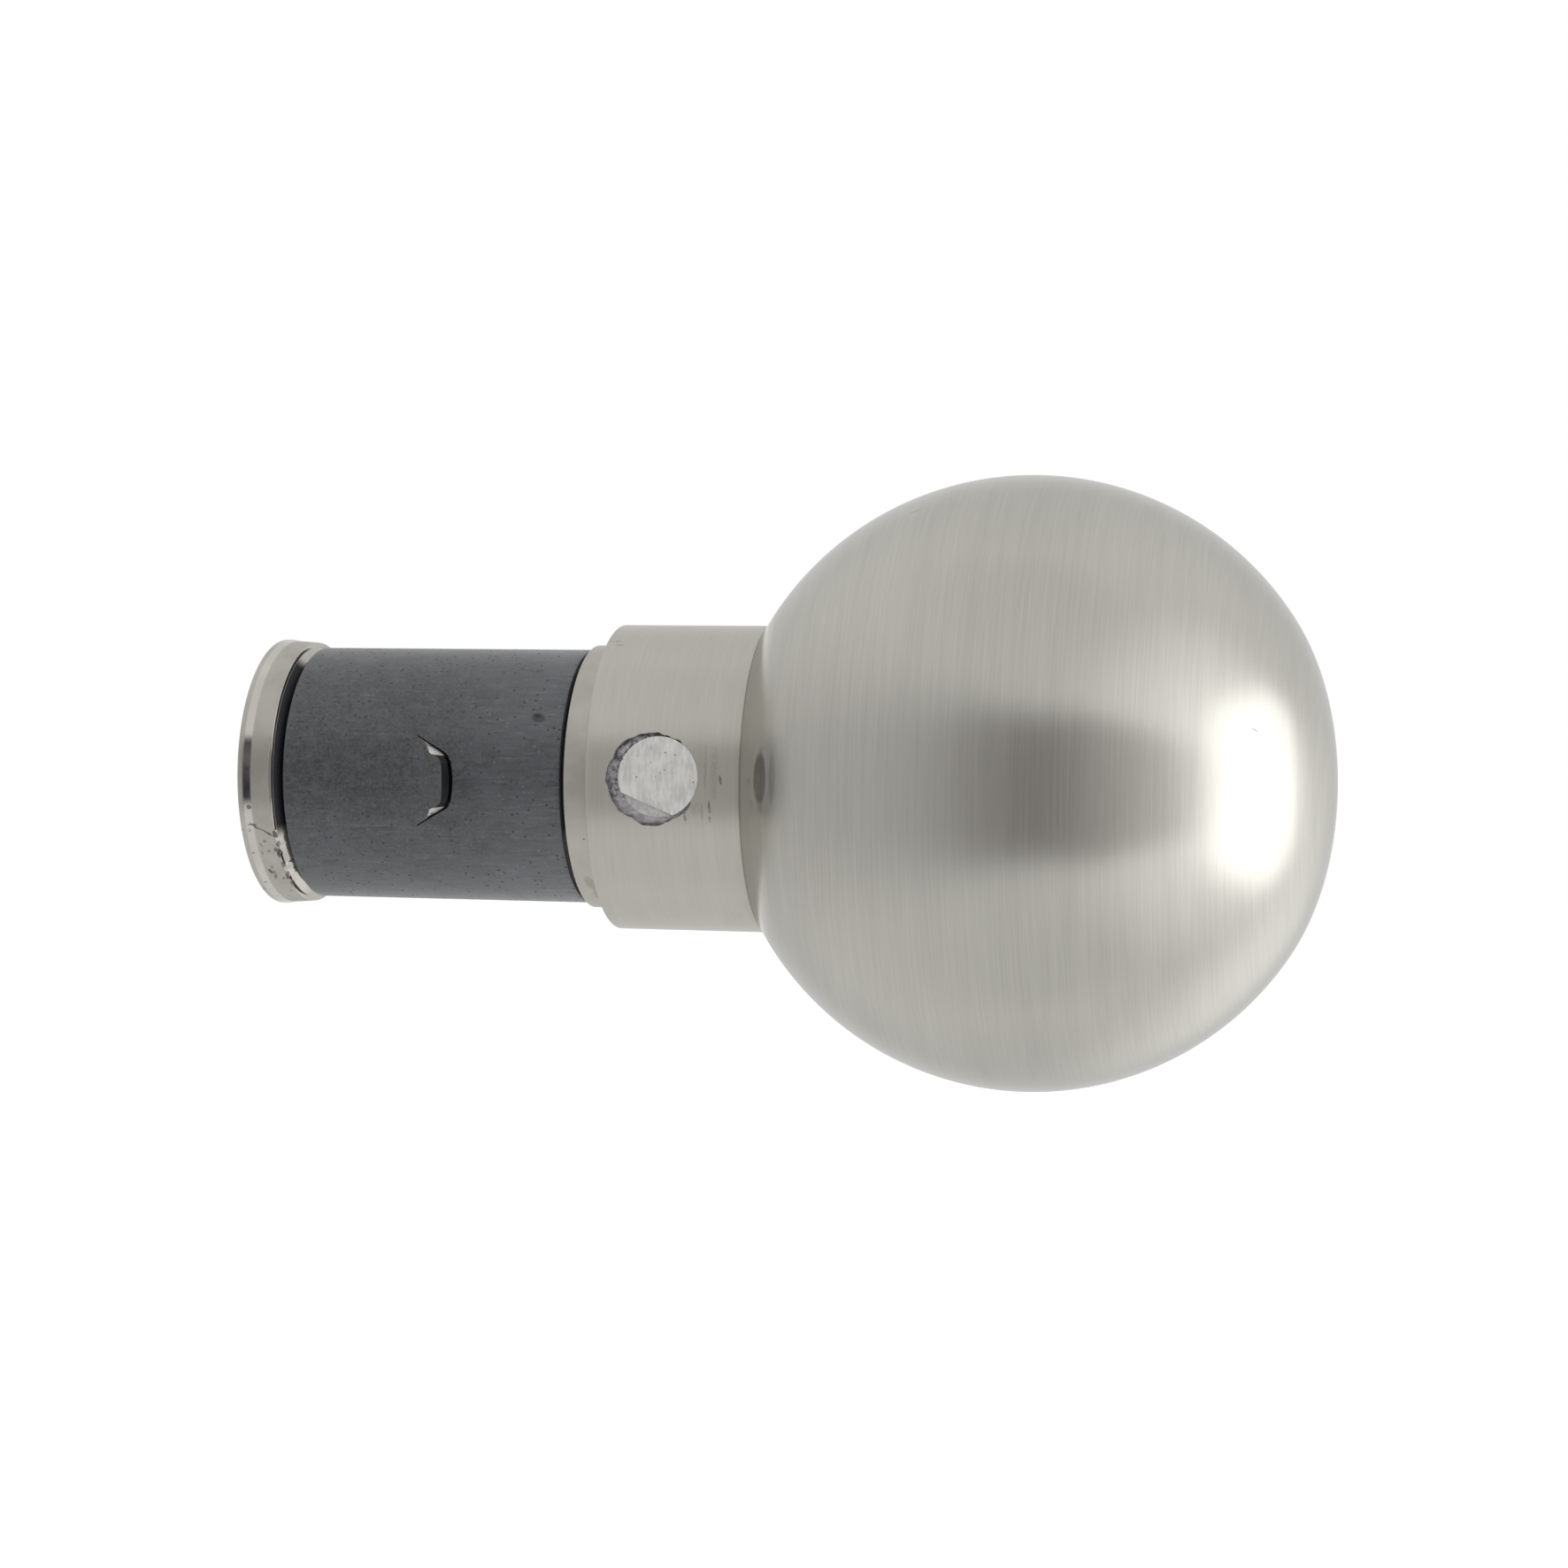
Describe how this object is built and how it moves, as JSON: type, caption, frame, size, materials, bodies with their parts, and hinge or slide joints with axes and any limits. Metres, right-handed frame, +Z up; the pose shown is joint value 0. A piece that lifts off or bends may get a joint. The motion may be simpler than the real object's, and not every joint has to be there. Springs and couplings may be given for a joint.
{
  "type": "curtain pole finial",
  "caption": "Brushed metal ball finial with a collar and a spring-sleeved spigot that pushes into the end of a round curtain pole.",
  "frame": {"origin": "on the pole's axis, in the plane where the collar meets the end of the pole", "axes": "+X along the pole's axis from the spigot to the ball, +Z up, with the cross pin's end facing -Y"},
  "size_m": [0.0699, 0.0394, 0.0394],
  "materials": {
    "brushed_ball": "brushed round the axis, satin",
    "brushed_collar": "brushed round the axis, satin",
    "plated_spigot": "bright plated over a pitted casting",
    "blued_sleeve": "blued spring steel, dull",
    "soft_pin": "bare, roughly filed flush"
  },
  "bodies": {
    "root": {"ball": "brushed_ball", "collar": "brushed_collar", "spigot": "plated_spigot", "spring_sleeve": "blued_sleeve", "cross_pin": "soft_pin"}
  },
  "joints": []
}
